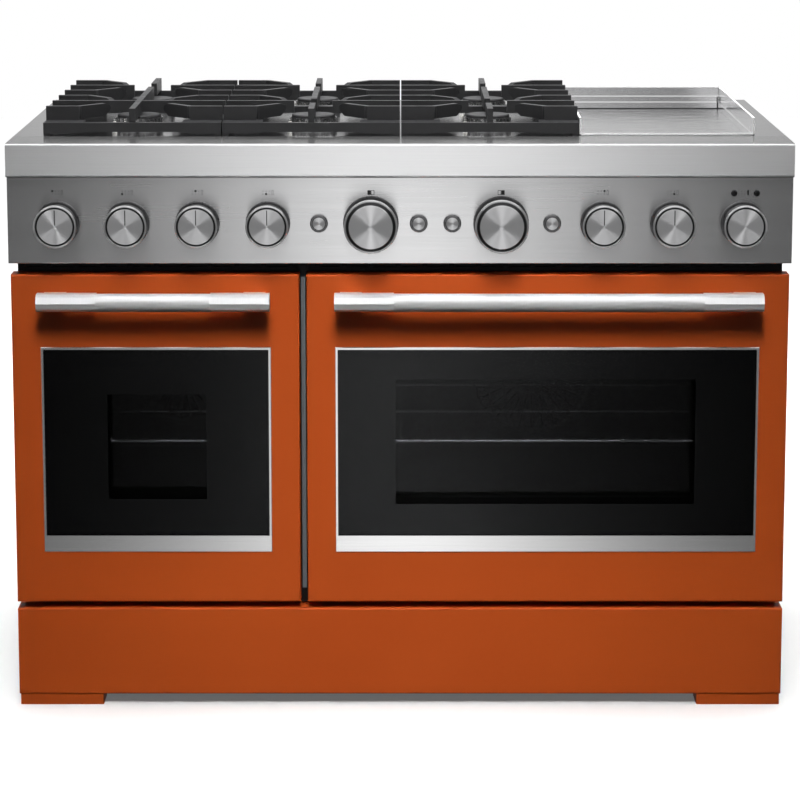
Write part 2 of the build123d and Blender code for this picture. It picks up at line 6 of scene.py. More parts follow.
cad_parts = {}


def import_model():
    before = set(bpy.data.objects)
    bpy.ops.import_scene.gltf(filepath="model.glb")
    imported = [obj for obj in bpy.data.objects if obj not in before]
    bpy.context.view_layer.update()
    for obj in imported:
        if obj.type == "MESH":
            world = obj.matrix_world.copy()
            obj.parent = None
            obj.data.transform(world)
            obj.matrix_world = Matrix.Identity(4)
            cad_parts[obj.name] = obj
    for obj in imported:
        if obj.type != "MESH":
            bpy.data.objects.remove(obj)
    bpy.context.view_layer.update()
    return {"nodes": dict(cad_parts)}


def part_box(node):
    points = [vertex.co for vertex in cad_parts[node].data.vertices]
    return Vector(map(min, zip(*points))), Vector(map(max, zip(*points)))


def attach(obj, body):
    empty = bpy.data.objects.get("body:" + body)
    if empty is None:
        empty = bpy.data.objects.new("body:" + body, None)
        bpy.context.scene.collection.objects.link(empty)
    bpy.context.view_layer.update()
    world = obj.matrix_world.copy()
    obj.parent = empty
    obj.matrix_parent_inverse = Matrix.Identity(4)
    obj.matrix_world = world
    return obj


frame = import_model()
nodes = frame["nodes"]
ROOT = "range_body"
OVENS = ("main", "small")
MM = 0.001

# ---------------------------------------------------------------- measures of the model
PANEL_LOW, PANEL_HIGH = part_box("control_panel")
LEDGE_LOW, LEDGE_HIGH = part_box("landing_ledge")
DECK_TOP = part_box("cooktop_deck")[1].z
SKIN_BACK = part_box("main_door_skin")[1].y
PLATE_THICK = 4 * MM
PLATE_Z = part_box("griddle_tray")[0].z + PLATE_THICK
# The vent strip is painted black, as shade, from the control panel down this far.
VENT_SHADE_DROP = 23.5 * MM
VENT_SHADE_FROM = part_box("control_panel")[0].z - VENT_SHADE_DROP
BETWEEN_PANES = 20 * MM
WINDOW_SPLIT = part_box("main_door_skin")[0].y + BETWEEN_PANES
GLASS_THICK = 4 * MM
CAP_RADIUS = 35 * MM
OVEN_BACK = 240 * MM
# What each window's print leaves open: its lower left and upper right corners as (x, z).
WINDOW_HOLES = {
    "main": ((-0.007, 0.327), (0.4635, 0.527)),
    "small": ((-0.459, 0.335), (-0.304, 0.503)),
}


# ---------------------------------------------------------------- material helpers
# A Mix node has a row of sockets for every kind of value. These are the ones used here.
FLOAT_A, FLOAT_B, FLOAT_OUT = 2, 3, 0
COLOUR_A, COLOUR_B, COLOUR_OUT = 6, 7, 2


def shaded(colour, part):
    return tuple(channel * part for channel in colour)


class Shader:
    """A Principled material with short calls for the nodes that its textures use."""

    def __init__(self, name, **values):
        self.material = bpy.data.materials.new(name)
        self.material.use_nodes = True
        self.tree = self.material.node_tree
        self.bsdf = self.tree.nodes["Principled BSDF"]
        self.place = self.add("ShaderNodeTexCoord").outputs["Object"]
        for socket, value in values.items():
            self.put(socket.replace("_", " "), value)

    def put(self, socket, value):
        target = self.bsdf.inputs[socket]
        if isinstance(value, bpy.types.NodeSocket):
            self.tree.links.new(value, target)
        elif isinstance(value, tuple) and len(value) == 3 and target.type == "RGBA":
            target.default_value = (*value, 1.0)
        else:
            target.default_value = value

    def add(self, kind, **settings):
        node = self.tree.nodes.new(kind)
        for key, value in settings.items():
            setattr(node, key, value)
        return node

    def join(self, source, node, socket):
        self.tree.links.new(source, node.inputs[socket])

    def stretched(self, scale):
        node = self.add("ShaderNodeMapping")
        node.inputs["Scale"].default_value = scale
        self.join(self.place, node, "Vector")
        return node.outputs["Vector"]

    def noise(self, vector, scale, detail=2.0, roughness=0.5):
        node = self.add("ShaderNodeTexNoise")
        node.inputs["Scale"].default_value = scale
        node.inputs["Detail"].default_value = detail
        node.inputs["Roughness"].default_value = roughness
        self.join(vector, node, "Vector")
        return node.outputs["Fac"]

    def span(self, value, low, high, source_low=0.3, source_high=0.7):
        """low to high while value goes from source_low to source_high, and held past both ends."""
        node = self.add("ShaderNodeMapRange")
        node.inputs["From Min"].default_value = source_low
        node.inputs["From Max"].default_value = source_high
        node.inputs["To Min"].default_value = low
        node.inputs["To Max"].default_value = high
        self.join(value, node, "Value")
        return node.outputs["Result"]

    def blend(self, factor, first, second):
        """From first to second, which are colours. first may also be a socket that gives one."""
        node = self.add("ShaderNodeMix", data_type="RGBA")
        if isinstance(first, bpy.types.NodeSocket):
            self.join(first, node, COLOUR_A)
        else:
            node.inputs[COLOUR_A].default_value = (*first, 1.0)
        node.inputs[COLOUR_B].default_value = (*second, 1.0)
        self.join(factor, node, 0)
        return node.outputs[COLOUR_OUT]

    def mix(self, factor, first, second):
        node = self.add("ShaderNodeMix", data_type="FLOAT")
        self.join(factor, node, 0)
        self.join(first, node, FLOAT_A)
        self.join(second, node, FLOAT_B)
        return node.outputs[FLOAT_OUT]

    def pair(self, operation, first, second):
        node = self.add("ShaderNodeMath", operation=operation)
        self.join(first, node, 0)
        self.join(second, node, 1)
        return node.outputs[0]

    def times(self, first, second):
        return self.pair("MULTIPLY", first, second)

    def largest(self, first, second):
        return self.pair("MAXIMUM", first, second)

    def size_of(self, value):
        node = self.add("ShaderNodeMath", operation="ABSOLUTE")
        self.join(value, node, 0)
        return node.outputs[0]

    def vector_with(self, operation, vector, constant):
        node = self.add("ShaderNodeVectorMath", operation=operation)
        self.join(vector, node, 0)
        node.inputs[1].default_value = constant
        return node.outputs["Vector"]

    def length(self, vector):
        node = self.add("ShaderNodeVectorMath", operation="LENGTH")
        self.join(vector, node, 0)
        return node.outputs["Value"]

    def part_of(self, vector, letter):
        node = self.add("ShaderNodeSeparateXYZ")
        self.join(vector, node, 0)
        return node.outputs[letter]

    def bump(self, height, strength, distance):
        node = self.add("ShaderNodeBump")
        node.inputs["Strength"].default_value = strength
        node.inputs["Distance"].default_value = distance
        self.join(height, node, "Height")
        self.put("Normal", node.outputs["Normal"])

    def spread_along(self, letters):
        """The direction that a brushed or turned grain spreads highlights in, on any face."""
        node = self.add("ShaderNodeCombineXYZ")
        for letter in letters:
            node.inputs[letter].default_value = 1.0
        self.put("Tangent", node.outputs["Vector"])


# ---------------------------------------------------------------- materials
def brushed_steel(name, colour, rough, aniso, relief=0.00002, metal=1.0, top=None, top_shade=1.0):
    """Steel with a sideways grain. top is the roughness of the faces that look up, where it differs, and
    top_shade is how bright these are painted beside the rest; below 1 it is a painted shade."""
    shader = Shader(name, Metallic=metal, Anisotropic=aniso)
    fine = shader.noise(shader.stretched((6, 900, 900)), 1.0, 3.0, 0.6)
    broad = shader.noise(shader.stretched((3, 110, 110)), 1.0)
    patches = shader.noise(shader.stretched((1.2, 2, 6)), 1.0)
    tone = shader.blend(shader.span(fine, 0, 1), shaded(colour, 0.95), colour)
    patchy = shader.span(patches, rough - 0.02, rough + 0.02)
    roughness = shader.pair("ADD", shader.span(broad, -0.015, 0.015), patchy)
    if top is not None:
        normal = shader.add("ShaderNodeNewGeometry").outputs["Normal"]
        up = shader.span(shader.part_of(normal, "Z"), 0, 1, 0.75, 0.95)
        # Painted shade: faces that look up are made darker by top_shade.
        tone = shader.blend(up, tone, shaded(colour, top_shade))
        roughness = shader.mix(up, roughness, shader.span(broad, top - 0.02, top + 0.02))
        shader.put("Metallic", shader.span(up, metal, 1.0, 0.0, 1.0))
    shader.put("Base Color", tone)
    shader.put("Roughness", roughness)
    shader.bump(fine, 0.2, relief)
    shader.spread_along("YZ")
    return shader.material


def orange_enamel():
    shader = Shader("orange_enamel", Metallic=0.0, Specular_IOR_Level=0.12)
    cloud = shader.noise(shader.stretched((5, 5, 5)), 1.0, 3.0)
    deep, bright = (0.60, 0.094, 0.0145), (0.64, 0.104, 0.0165)
    shader.put("Base Color", shader.blend(shader.span(cloud, 0, 1), deep, bright))
    peel = shader.noise(shader.stretched((420, 420, 420)), 1.0, 1.0)
    shader.put("Roughness", shader.span(peel, 0.42, 0.48))
    shader.bump(peel, 0.08, 0.0001)
    return shader.material


def cast_iron(name, low, high, rough):
    shader = Shader(name, Metallic=0.0)
    pits = shader.noise(shader.place, 1500.0, 4.0, 0.7)
    cloud = shader.noise(shader.place, 60.0, 3.0)
    shader.put("Base Color", shader.blend(shader.span(pits, 0, 1), low, high))
    shader.put("Roughness", shader.span(cloud, rough - 0.06, rough + 0.08))
    shader.bump(pits, 0.5, 0.00035)
    return shader.material


def spun_metal(name, colour, rough, groove, pointer=0.0):
    """Metal turned about the piece's own middle, with painted shade in its groove and, if asked, a
    painted pointer.

    groove is the inner and outer radius of the groove, where that shade is painted, and pointer the width
    of the line, as parts of the piece's width. Behind its front edge the piece's side is painted darker, as
    shade."""
    shader = Shader(name, Metallic=1.0, Anisotropic=0.97, Anisotropic_Rotation=0.25)
    tangent = shader.add("ShaderNodeTangent", direction_type="RADIAL", axis="Y")
    shader.put("Tangent", tangent.outputs["Tangent"])
    generated = shader.add("ShaderNodeTexCoord").outputs["Generated"]
    offset = shader.vector_with("SUBTRACT", generated, (0.5, 0.5, 0.5))
    radius = shader.length(shader.vector_with("MULTIPLY", offset, (1.0, 0.0, 1.0)))
    rings = shader.add("ShaderNodeCombineXYZ")
    shader.join(radius, rings, "X")
    lines = shader.noise(rings.outputs[0], 160.0, 2.0)
    tone = shader.blend(shader.span(lines, 0, 1), shaded(colour, 0.93), colour)
    inner, outer = groove
    edge = 0.006
    # Painted shade: the groove and the piece's side behind its front edge are blended towards near black, as
    # the shade in them; the pointer is print.
    past_inner = shader.span(radius, 0, 1, inner - edge, inner + edge)
    before_outer = shader.span(radius, 1, 0, outer - edge, outer + edge)
    side = shader.span(shader.part_of(generated, "Y"), 0, 0.85, 0.07, 0.14)
    dark = shader.largest(shader.times(past_inner, before_outer), side)
    if pointer:
        beside = shader.size_of(shader.part_of(offset, "X"))
        line = shader.span(beside, 1, 0, pointer * 0.35, pointer * 0.65)
        upper = shader.span(shader.part_of(offset, "Z"), 0, 1, 0.03, 0.05)
        short = shader.span(radius, 1, 0, inner - 0.03, inner - 0.02)
        dark = shader.largest(dark, shader.times(line, shader.times(upper, short)))
    shader.put("Base Color", shader.blend(dark, tone, (0.05, 0.05, 0.052)))
    shader.put("Roughness", shader.span(lines, rough - 0.02, rough + 0.03))
    return shader.material


def plain_metal(name, colour, rough, scale=300.0, metal=1.0):
    shader = Shader(name, Metallic=metal)
    wear = shader.noise(shader.place, scale, 3.0)
    shader.put("Base Color", shader.blend(shader.span(wear, 0, 1), shaded(colour, 0.8), colour))
    shader.put("Roughness", shader.span(wear, rough - 0.06, rough + 0.08))
    shader.bump(wear, 0.1, 0.0001)
    return shader.material


def flecked_enamel():
    shader = Shader("dark_enamel", Metallic=0.0, Coat_Weight=0.6, Coat_Roughness=0.08)
    specks = shader.noise(shader.place, 900.0, 1.0)
    ground, fleck = (0.012, 0.013, 0.018), (0.25, 0.26, 0.3)
    shader.put("Base Color", shader.blend(shader.span(specks, 0, 1, 0.66, 0.72), ground, fleck))
    shader.put("Roughness", shader.span(specks, 0.24, 0.3))
    shader.bump(shader.noise(shader.place, 60.0), 0.05, 0.0004)
    return shader.material


def plain_surface(name, colour, rough, scale=500.0, strength=0.2):
    """Paint, plastic, rubber, ceramic or wool: one colour with a fine grain."""
    shader = Shader(name, Metallic=0.0)
    grain = shader.noise(shader.place, scale, 3.0)
    lighter = tuple(min(1.0, channel * 1.3 + 0.002) for channel in colour)
    shader.put("Base Color", shader.blend(shader.span(grain, 0, 1), colour, lighter))
    shader.put("Roughness", shader.span(grain, rough - 0.05, rough + 0.05))
    shader.bump(grain, strength, 0.0002)
    return shader.material


def printed_black():
    shader = Shader("window_print", Specular_IOR_Level=0.5)
    grain = shader.noise(shader.place, 900.0)
    low, high = (0.0010, 0.0010, 0.0011), (0.0016, 0.0016, 0.0018)
    shader.put("Base Color", shader.blend(shader.span(grain, 0, 1), low, high))
    shader.put("Roughness", shader.span(grain, 0.03, 0.06))
    return shader.material


def griddle_steel():
    """Bright rolled walls round a ground cooking plate."""
    shader = Shader("griddle_steel", Metallic=1.0, Anisotropic=0.5)
    height = shader.part_of(shader.place, "Z")
    plate = shader.span(height, 1, 0, PLATE_Z + 0.5 * MM, PLATE_Z + 1.5 * MM)
    fine = shader.noise(shader.stretched((9, 700, 700)), 1.0, 3.0, 0.6)
    shader.put("Base Color", shader.blend(plate, (0.76, 0.76, 0.765), (0.66, 0.66, 0.665)))
    rough = shader.span(plate, 0.16, 0.26, 0.0, 1.0)
    shader.put("Roughness", shader.pair("ADD", rough, shader.span(fine, -0.03, 0.03)))
    shader.bump(fine, 0.06, 0.00001)
    shader.spread_along("YZ")
    return shader.material


def handle_steel():
    """Polished bar, turned on a lathe, so highlights spread along it."""
    shader = Shader("handle_steel", Metallic=0.45, Anisotropic=0.95)
    fine = shader.noise(shader.stretched((900, 40, 40)), 1.0, 3.0, 0.6)
    shader.put("Base Color", shader.blend(shader.span(fine, 0, 1), (0.80, 0.80, 0.805), (0.84, 0.84, 0.845)))
    shader.put("Roughness", shader.span(fine, 0.36, 0.42))
    shader.spread_along("X")
    return shader.material


def divider_steel():
    """Grey for the strip between the doors; the vent strip above them, in the shade under the control panel,
    is painted black as that shade.
    """
    shader = Shader("divider_steel", Metallic=0.8)
    height = shader.part_of(shader.place, "Z")
    # Painted shade: the vent strip under the control panel is made black.
    vent = shader.span(height, 0, 1, VENT_SHADE_FROM - MM, VENT_SHADE_FROM + MM)
    shader.put("Base Color", shader.blend(vent, (0.20, 0.21, 0.225), (0.006, 0.006, 0.007)))
    wear = shader.noise(shader.stretched((8, 8, 600)), 1.0)
    shader.put("Roughness", shader.span(wear, 0.38, 0.5))
    shader.bump(wear, 0.1, 0.00002)
    return shader.material


def window_glass():
    """Coated glass: the pane in the door's face reflects little, the inner one much more."""
    shader = Shader("dark_glass", Transmission_Weight=1.0, IOR=1.3)
    haze = shader.noise(shader.stretched((4, 4, 4)), 1.0)
    low, high = (0.58, 0.585, 0.59), (0.62, 0.625, 0.63)
    shader.put("Base Color", shader.blend(shader.span(haze, 0, 1), low, high))
    depth = shader.part_of(shader.place, "Y")
    inner = shader.span(depth, 0, 1, WINDOW_SPLIT - 2 * MM, WINDOW_SPLIT + 2 * MM)
    shader.put("Specular Tint", shader.blend(inner, (0.07, 0.07, 0.07), (1.0, 1.0, 1.0)))
    shader.put("Roughness", shader.span(haze, 0.0, 0.012))
    return shader.material


KNOB_METAL = (0.84, 0.84, 0.85)
# Where the knobs' groove is painted near black, as shade, as parts of the knob's width.
KNOB_GROOVE_SHADE = (0.415, 0.458)
MATERIALS = {
    # The ledge's faces that look up are painted darker, as shade.
    "ledge": brushed_steel("ledge_steel", (0.86, 0.86, 0.865), 0.32, 0.85, metal=0.72,
                           top=0.24, top_shade=0.62),
    "panel": brushed_steel("panel_steel", (0.66, 0.66, 0.665), 0.25, 0.95, relief=0.000008),
    "deck": brushed_steel("deck_steel", (0.36, 0.36, 0.365), 0.26, 0.3, relief=0.000004, top=0.14),
    "griddle": griddle_steel(),
    # Painted highlight: near white and mostly not metal, for the bright lines along the griddle's rolled
    # edges.
    "hem": brushed_steel("hem_painted_highlight", (0.92, 0.92, 0.92), 0.3, 0.2, metal=0.3),
    "handle": handle_steel(),
    "trim": brushed_steel("trim_steel", (0.80, 0.80, 0.80), 0.24, 0.9),
    # Painted shade: the bezels round the knobs are dark grey for the shade the knobs throw about themselves
    # on the panel.
    "bezel": plain_metal("bezel_painted_shade", (0.22, 0.22, 0.225), 0.3),
    "side": brushed_steel("side_steel", (0.5, 0.5, 0.505), 0.4, 0.4, metal=0.6),
    "divider": divider_steel(),
    "orange": orange_enamel(),
    "iron": cast_iron("grate_iron", (0.010, 0.010, 0.011), (0.026, 0.026, 0.027), 0.42),
    "cap_iron": cast_iron("cap_iron", (0.015, 0.015, 0.016), (0.03, 0.03, 0.031), 0.45),
    "knob": spun_metal("knob_spun", KNOB_METAL, 0.42, KNOB_GROOVE_SHADE),
    "marked_knob": spun_metal("marked_knob_spun", KNOB_METAL, 0.42, KNOB_GROOVE_SHADE, pointer=0.022),
    "oven_knob": spun_metal("oven_knob_spun", KNOB_METAL, 0.42, (0.408, 0.462)),
    "button": spun_metal("button_spun", (0.82, 0.82, 0.83), 0.40, (0.462, 0.51)),
    "enamel": flecked_enamel(),
    "glass": window_glass(),
    "print": printed_black(),
    "black": plain_surface("black_paint", (0.010, 0.010, 0.011), 0.5),
    "plastic": plain_surface("black_plastic", (0.012, 0.012, 0.012), 0.4),
    "lens": plain_surface("lens_black", (0.004, 0.004, 0.005), 0.12, 40.0, 0.02),
    "rubber": plain_surface("gasket_rubber", (0.03, 0.03, 0.03), 0.75),
    "wool": plain_surface("mineral_wool", (0.5, 0.46, 0.32), 0.95, 250.0, 0.8),
    "ink": plain_surface("panel_ink", (0.006, 0.006, 0.006), 0.5),
    "ceramic": plain_surface("white_ceramic", (0.68, 0.67, 0.64), 0.35, 300.0, 0.05),
    "frosted": plain_surface("frosted_glass", (0.55, 0.55, 0.52), 0.3, 300.0, 0.1),
    "zinc": plain_metal("zinc_plate", (0.62, 0.62, 0.6), 0.35),
    "galvanised": plain_metal("galvanised_sheet", (0.55, 0.56, 0.57), 0.42, 40.0, 0.55),
    "chrome": plain_metal("chrome_wire", (0.42, 0.42, 0.43), 0.2),
    "bright_aluminium": plain_metal("machined_aluminium", (0.86, 0.86, 0.86), 0.24),
    "aluminium": plain_metal("cast_aluminium", (0.30, 0.30, 0.305), 0.34),
    "brass": plain_metal("machined_brass", (0.72, 0.55, 0.28), 0.3),
}

LOOKS = {
    "landing_ledge": "ledge", "control_panel": "panel", "control_bezels": "bezel",
    "cooktop_deck": "deck", "griddle_tray": "griddle", "side_panels": "side",
    "rear_panel": "galvanised", "base_frame": "galvanised", "leveling_legs": "zinc",
    "front_frame": "black", "kick_panel": "orange", "front_feet": "orange",
    "vent_and_divider_trim": "divider", "insulation": "wool", "tube_burners": "zinc",
    "door_gaskets": "rubber", "indicator_lenses": "lens", "gas_manifold": "brass",
    "oven_controls": "plastic", "burner_heads": "aluminium", "burner_caps": "cap_iron",
    "grate_left": "iron", "grate_middle": "iron", "grate_right": "iron",
}
for oven in OVENS:
    LOOKS[f"{oven}_oven_liner"] = "enamel"
    LOOKS[f"{oven}_oven_rack"] = "chrome"
    LOOKS[f"{oven}_door_skin"] = "orange"
    LOOKS[f"{oven}_door_trim"] = "trim"
    LOOKS[f"{oven}_door_glass"] = "glass"
    LOOKS[f"{oven}_door_liner"] = "enamel"
    LOOKS[f"{oven}_door_handle"] = "handle"
    LOOKS[f"{oven}_door_hinges"] = "zinc"
for name in nodes:
    if name.startswith("knob"):
        LOOKS[name] = "knob" if name == "knob_7" else "marked_knob"
    elif name.startswith("oven_knob"):
        LOOKS[name] = "oven_knob"
    elif name.startswith("button"):
        LOOKS[name] = "button"
    elif name.startswith("valve_stem"):
        LOOKS[name] = "zinc"

for name, look in LOOKS.items():
    mesh = nodes[name].data
    mesh.materials.clear()
    mesh.materials.append(MATERIALS[look])


# ---------------------------------------------------------------- pieces added around the model
def new_piece(name, bm, body, look):
    """Turns bm into a piece that rides body."""
    mesh = bpy.data.meshes.new(name)
    bmesh.ops.recalc_face_normals(bm, faces=bm.faces)
    bm.to_mesh(mesh)
    bm.free()
    mesh.materials.append(MATERIALS[look])
    item = bpy.data.objects.new(name, mesh)
    bpy.context.scene.collection.objects.link(item)
    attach(item, body)


def add_box(bm, low, high):
    made = bmesh.ops.create_cube(bm, size=1.0)
    middle = (Vector(low) + Vector(high)) / 2
    size = Vector(high) - Vector(low)
    for vertex in made["verts"]:
        vertex.co = Vector(a * b for a, b in zip(vertex.co, size)) + middle
    return made["verts"]


AXIS_TURNS = {
    "+Z": Matrix.Identity(4),
    "+Y": Matrix.Rotation(-math.pi / 2, 4, "X"),
    "-Y": Matrix.Rotation(math.pi / 2, 4, "X"),
}


def add_turned(bm, centre, profile, segments, axis="+Z"):
    """A turned piece from (radius, height) pairs, bottom to top, with its height along axis."""
    rings = []
    for radius, height in profile:
        ring = []
        for k in range(segments):
            angle = k * math.tau / segments
            ring.append(bm.verts.new((radius * math.cos(angle), radius * math.sin(angle), height)))
        rings.append(ring)
    for low, high in zip(rings, rings[1:]):
        for k in range(segments):
            n = (k + 1) % segments
            bm.faces.new((low[k], low[n], high[n], high[k]))
    bm.faces.new(rings[0])
    bm.faces.new(rings[-1])
    made = [vertex for ring in rings for vertex in ring]
    bmesh.ops.transform(bm, matrix=Matrix.Translation(centre) @ AXIS_TURNS[axis], verts=made)


def ring_plate(bm, outer_low, outer_high, inner_low, inner_high, y0, y1):
    """A flat frame in an upright plane: two corner pairs as (x, z), and its front and back."""
    layers = []
    for y in (y0, y1):
        loops = []
        for low, high in ((outer_low, outer_high), (inner_low, inner_high)):
            corners = [(low[0], low[1]), (high[0], low[1]), (high[0], high[1]), (low[0], high[1])]
            loops.append([bm.verts.new((x, y, z)) for x, z in corners])
        layers.append(loops)
    for k in range(4):
        n = (k + 1) % 4
        for outer, inner in layers:
            bm.faces.new((outer[k], outer[n], inner[n], inner[k]))
        for front, back in zip(layers[0], layers[1]):
            bm.faces.new((front[k], front[n], back[n], back[k]))


def middle_x(node):
    low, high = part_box(node)
    return (low.x + high.x) / 2


def spread(low, high, count):
    return [low + (high - low) * k / (count - 1) for k in range(count)]


# ---- print on the windows
def window_prints():
    """The black print behind each window's outer glass, open where the oven shows."""
    inset = 4 * MM
    for oven in OVENS:
        glass_low, glass_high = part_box(f"{oven}_door_glass")
        skin_low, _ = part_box(f"{oven}_door_skin")
        glass_back = skin_low.y + GLASS_THICK
        hole_low, hole_high = WINDOW_HOLES[oven]
        bm = bmesh.new()
        ring_plate(
            bm,
            (glass_low.x + inset, glass_low.z + inset),
            (glass_high.x - inset, glass_high.z - inset),
            hole_low, hole_high,
            glass_back + 0.2 * MM, glass_back + MM,
        )
        new_piece(f"{oven}_window_print", bm, f"{oven}_door", "print")


window_prints()


# ---- printed marks on the control panel
MARK_Z = PANEL_HIGH.z - 24 * MM
MARK_THICK = 0.3 * MM
DOT_STEP = 5 * MM
DOT_RISE = 2.3 * MM
OWN_DOT = 1.7 * MM
OTHER_DOT = 0.7 * MM
GRIDDLE_MARK = 2.8 * MM
OVEN_MARK = 5.2 * MM
MARK_TALL = 7 * MM


def add_mark(bm, x, z, wide, tall):
    face = PANEL_LOW.y
    low = (x - wide / 2, face - MARK_THICK, z - tall / 2)
    high = (x + wide / 2, face + MARK_THICK, z + tall / 2)
    add_box(bm, low, high)


def add_outline(bm, x, wide, line):
    for side in (-1, 1):
        add_mark(bm, x + side * (wide - line) / 2, MARK_Z, line, MARK_TALL)
        add_mark(bm, x, MARK_Z + side * (MARK_TALL - line) / 2, wide - 2 * line, line)


def add_dot(bm, x, z, radius):
    made = bmesh.ops.create_cone(
        bm, cap_ends=True, segments=20, radius1=radius, radius2=radius, depth=2 * MARK_THICK
    )
    place = Matrix.Translation((x, PANEL_LOW.y, z)) @ Matrix.Rotation(math.pi / 2, 4, "X")
    bmesh.ops.transform(bm, matrix=place, verts=made["verts"])


def burner_marks():
    """Above each gas knob, a plan of the cooktop with what that knob feeds filled in."""
    bm = bmesh.new()
    own_dots = {"knob_1": (0, 1), "knob_2": (0, -1), "knob_3": (1, 1), "knob_4": (1, -1),
                "knob_5": (2, 1), "knob_6": (2, -1), "knob_7": None}
    for knob, own in own_dots.items():
        left = middle_x(knob) - 1.5 * DOT_STEP
        for column in range(3):
            for row in (-1, 1):
                radius = OWN_DOT if own == (column, row) else OTHER_DOT
                add_dot(bm, left + column * DOT_STEP, MARK_Z + row * DOT_RISE, radius)
        griddle_x = left + 3 * DOT_STEP
        if own is None:
            add_mark(bm, griddle_x, MARK_Z, GRIDDLE_MARK, MARK_TALL + 0.5 * MM)
        else:
            add_outline(bm, griddle_x, GRIDDLE_MARK, 0.4 * MM)
    new_piece("burner_marks", bm, ROOT, "ink")


def oven_marks():
    """Above each oven knob, two small boxes for the two ovens, with its own one filled in."""
    bm = bmesh.new()
    aside = OVEN_MARK / 2 + 0.1 * MM
    for knob, filled in (("oven_knob_small", -1), ("oven_knob_main", 1)):
        x = middle_x(knob)
        add_mark(bm, x + filled * aside, MARK_Z, OVEN_MARK, MARK_TALL)
        add_outline(bm, x - filled * aside, OVEN_MARK, 0.7 * MM)
    new_piece("oven_marks", bm, ROOT, "ink")


burner_marks()
oven_marks()


# ---- ends of the control panel
def panel_end_plates():
    """The returns that close the control panel's ends back to the side panels."""
    side_low, side_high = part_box("side_panels")
    outer_face = side_high.x - 0.4 * MM
    inner_face = side_high.x - 1.6 * MM
    bm = bmesh.new()
    for side in (-1, 1):
        near, far = sorted((side * inner_face, side * outer_face))
        add_box(bm, (near, PANEL_HIGH.y - MM, PANEL_LOW.z), (far, side_low.y + 8 * MM, PANEL_HIGH.z))
    new_piece("panel_end_plates", bm, ROOT, "side")


panel_end_plates()


# ---- igniters and teeth at the surface burners
IGNITER_POST = [(4.8 * MM, 0), (4.8 * MM, 3 * MM), (3.4 * MM, 4.5 * MM), (3.4 * MM, 10.5 * MM),
                (2.4 * MM, 12.5 * MM)]
IGNITER_TIP = [(1.0 * MM, 12.4 * MM), (1.0 * MM, 15 * MM), (1.8 * MM, 15.5 * MM), (1.0 * MM, 16.2 * MM)]
TEETH = 24


def burner_places():
    low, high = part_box("burner_caps")
    for grate in ("grate_left", "grate_middle", "grate_right"):
        for y in (low.y + CAP_RADIUS, high.y - CAP_RADIUS):
            yield middle_x(grate), y


def igniters():
    """A white ceramic post with a steel tip beside every surface burner."""
    posts = bmesh.new()
    tips = bmesh.new()
    for x, y in burner_places():
        foot = (x - 37 * MM, y - 36 * MM, DECK_TOP)
        add_turned(posts, foot, IGNITER_POST, 20)
        add_turned(tips, foot, IGNITER_TIP, 12)
    new_piece("igniter_posts", posts, ROOT, "ceramic")
    new_piece("igniter_tips", tips, ROOT, "zinc")


def burner_teeth():
    """The machined teeth between the flame ports, round the crown of every surface burner."""
    low = (-38.1 * MM, -2.9 * MM, DECK_TOP + 9.5 * MM)
    high = (-36.8 * MM, 2.9 * MM, DECK_TOP + 16.5 * MM)
    bm = bmesh.new()
    for x, y in burner_places():
        for k in range(TEETH):
            tooth = add_box(bm, low, high)
            place = Matrix.Translation((x, y, 0)) @ Matrix.Rotation(k * math.tau / TEETH, 4, "Z")
            bmesh.ops.transform(bm, matrix=place, verts=tooth)
    new_piece("burner_teeth", bm, ROOT, "bright_aluminium")


igniters()
burner_teeth()


# ---- griddle edges
def griddle_hem_highlights():
    """Strips over the tray's rolled wall tops and lip, painted bright as their highlights, standing proud of
    the sheet by over.
    """
    low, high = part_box("griddle_tray")
    wall = 2.5 * MM
    over = 0.3 * MM
    rim_z = high.z - 0.8 * MM
    bm = bmesh.new()
    for inner, outer in ((low.x, low.x + wall), (high.x - wall, high.x)):
        top = high.z + over
        add_box(bm, (inner - over, low.y - over, rim_z), (outer + over, high.y, top))
        add_box(bm, (inner - over, low.y - over, DECK_TOP + 2 * MM), (outer + over, low.y + MM, top))
    add_box(bm, (low.x, high.y - wall - over, rim_z), (high.x, high.y + over, high.z + over))
    lip_low = (low.x + wall, low.y - over, DECK_TOP + 0.3 * MM)
    lip_high = (high.x - wall, low.y + 3.2 * MM, DECK_TOP + 3.4 * MM)
    add_box(bm, lip_low, lip_high)
    new_piece("griddle_hem_highlights", bm, "griddle_tray", "hem")


def griddle_black_strips():
    """Black strips in the tray's back corners, along the foot of its back wall and behind the ends of its
    lip.
    """
    low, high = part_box("griddle_tray")
    back = high.y - 9.5 * MM
    side = 4.5 * MM
    over = 0.2 * MM
    bm = bmesh.new()
    foot_low = (low.x + side, back - MM, PLATE_Z)
    add_box(bm, foot_low, (high.x - side, back + over, PLATE_Z + 1.8 * MM))
    for x, inward in ((low.x + side, 1), (high.x - side, -1)):
        near, far = sorted((x - inward * over, x + inward * 1.2 * MM))
        add_box(bm, (near, back - 1.2 * MM, PLATE_Z), (far, back + over, DECK_TOP + 11 * MM))
        front_low = (near, low.y + 3.4 * MM, DECK_TOP + 0.5 * MM)
        add_box(bm, front_low, (far, low.y + 7 * MM, DECK_TOP + 2.6 * MM))
    new_piece("griddle_black_strips", bm, "griddle_tray", "black")


griddle_hem_highlights()
griddle_black_strips()


# ---- screws
SCREW_HEAD = [(4.0 * MM, 0), (4.0 * MM, 0.6 * MM), (3.4 * MM, 1.6 * MM), (2.0 * MM, 2.3 * MM),
              (0.4 * MM, 2.5 * MM)]


def screws(name, places, body):
    """Round heads that look backwards."""
    bm = bmesh.new()
    for place in places:
        add_turned(bm, place, SCREW_HEAD, 18, "+Y")
    new_piece(name, bm, body, "zinc")


